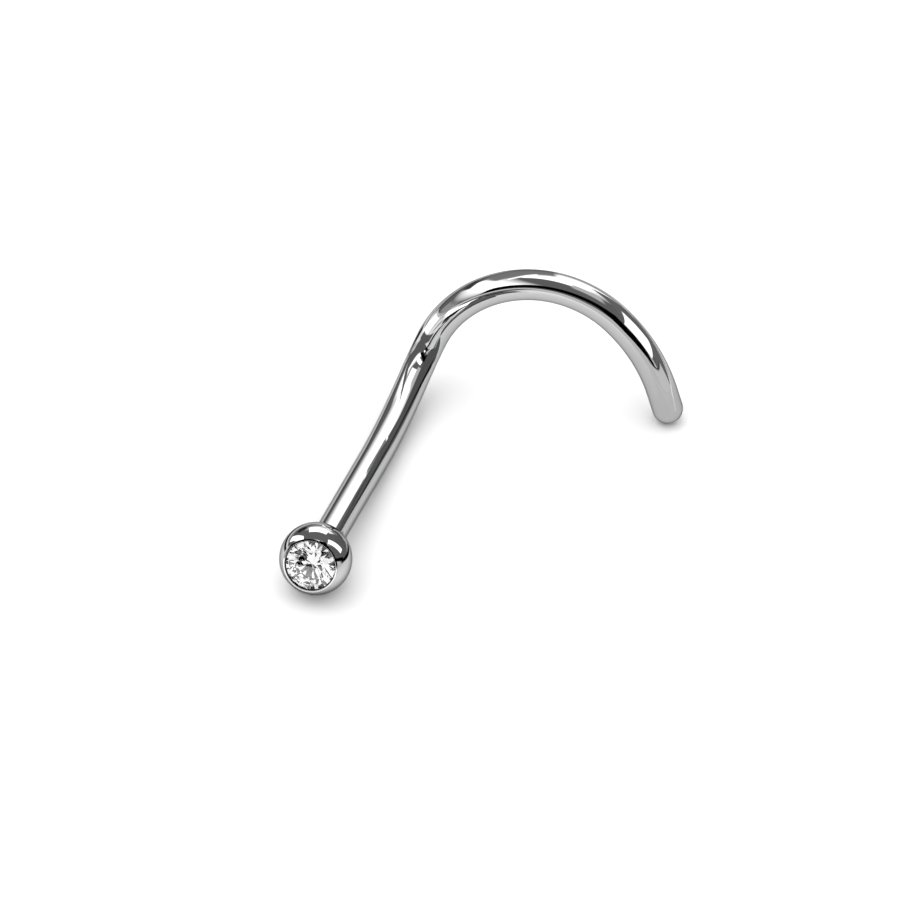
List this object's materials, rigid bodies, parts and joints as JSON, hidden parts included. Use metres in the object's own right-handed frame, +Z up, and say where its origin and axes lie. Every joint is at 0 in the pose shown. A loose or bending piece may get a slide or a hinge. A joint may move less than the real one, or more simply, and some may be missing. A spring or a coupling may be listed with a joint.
{
  "type": "nose stud",
  "caption": "Nose screw stud: a round wire post with a ball head that holds a small brilliant cut stone, bent through an elbow into an open hook.",
  "frame": {"origin": "centre of the resting stud's plan outline, on the surface that it lies on", "axes": "+Z up from the surface; +Y along the post in plan, from the ball towards the hook; +X from the elbow towards the hook's tip"},
  "size_m": [0.0078, 0.0104, 0.0038],
  "materials": {
    "polished_steel": "mirror polished surgical steel",
    "clear_stone": "clear faceted stone"
  },
  "bodies": {
    "root": {"ball_and_wire": "polished_steel", "stone": "clear_stone"}
  },
  "joints": []
}
